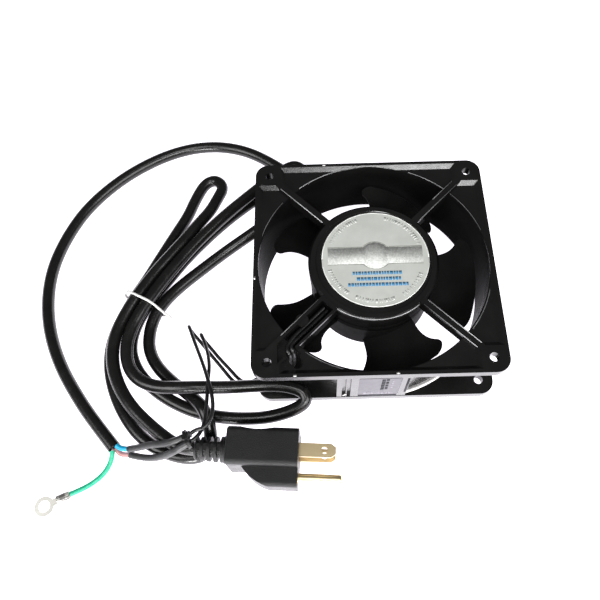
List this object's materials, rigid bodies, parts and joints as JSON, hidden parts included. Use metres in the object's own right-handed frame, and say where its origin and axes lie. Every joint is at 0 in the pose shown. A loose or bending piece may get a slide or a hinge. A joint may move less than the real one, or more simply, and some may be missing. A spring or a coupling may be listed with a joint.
{
  "type": "axial fan with mains cord",
  "caption": "Square-framed AC axial cooling fan with metal blades, strutted motor hub and a hanked mains cord ending in a grounded plug.",
  "frame": {"origin": "centre of the fan frame on the surface it lies on, at the lower flange's outer face", "axes": "+Z along the rotor axis towards the strutted motor side; +X and +Y along the frame's sides, with the cord on the -X side"},
  "size_m": [0.2402, 0.2189, 0.0385],
  "materials": {
    "black_casting": "satin black paint on die-cast aluminium",
    "black_steel": "semi-gloss black enamel on steel",
    "label_foil": "matt silver foil label",
    "lamination_steel": "stamped laminations",
    "enamelled_wire": "copper winding",
    "bronze_bush": "sintered bronze",
    "oil_felt": "oil felt",
    "shaft_steel": "ground steel",
    "rotor_aluminium": "die-cast cage in laminations",
    "nylon": "nylon",
    "cord_jacket": "black vinyl jacket",
    "lead_insulation": "black insulation",
    "sleeve": "dark grey shrink sleeve",
    "core_blue": "light blue insulation",
    "core_brown": "pale brown insulation",
    "core_green": "green insulation",
    "tie_white": "white paper-covered wire",
    "tinned_terminal": "tinned brass",
    "plug_black": "grained black vinyl",
    "prong_brass": "bright brass"
  },
  "bodies": {
    "frame": {"frame_casting": "black_casting", "hub_label": "label_foil", "rating_sticker": "label_foil", "stator_core": "lamination_steel", "winding_1": "enamelled_wire", "winding_2": "enamelled_wire", "winding_3": "enamelled_wire", "winding_4": "enamelled_wire", "bearing_bush_lower": "bronze_bush", "bearing_bush_upper": "bronze_bush", "oil_felt": "oil_felt", "cord_stretch_1": "cord_jacket", "cord_stretch_2": "cord_jacket", "cord_stretch_3": "cord_jacket", "cord_stretch_4": "cord_jacket", "cord_stretch_5": "cord_jacket", "cord_stretch_6": "cord_jacket", "cord_stretch_7": "cord_jacket", "cord_stretch_8": "cord_jacket", "lead_wire_1": "lead_insulation", "lead_wire_2": "lead_insulation", "heat_shrink_1": "sleeve", "heat_shrink_2": "sleeve", "core_blue": "core_blue", "core_brown": "core_brown", "core_green": "core_green", "cord_tie": "tie_white", "lead_tie": "lead_insulation", "ring_terminal": "tinned_terminal", "plug_body": "plug_black", "strain_relief": "plug_black", "plug_blade_1": "prong_brass", "plug_blade_2": "prong_brass", "plug_ground_pin": "prong_brass"},
    "rotor": {"rotor_cup": "black_steel", "rotor_ring": "rotor_aluminium", "rotor_shaft": "shaft_steel", "thrust_washer": "nylon", "circlip": "shaft_steel", "blade_1": "black_steel", "blade_2": "black_steel", "blade_3": "black_steel", "blade_4": "black_steel", "blade_5": "black_steel"}
  },
  "joints": [
    {"name": "rotor_spin", "type": "hinge", "parent": "frame", "child": "rotor", "pos_m": [0, 0, 0.013], "axis": [0, 0, 1], "continuous": true}
  ]
}
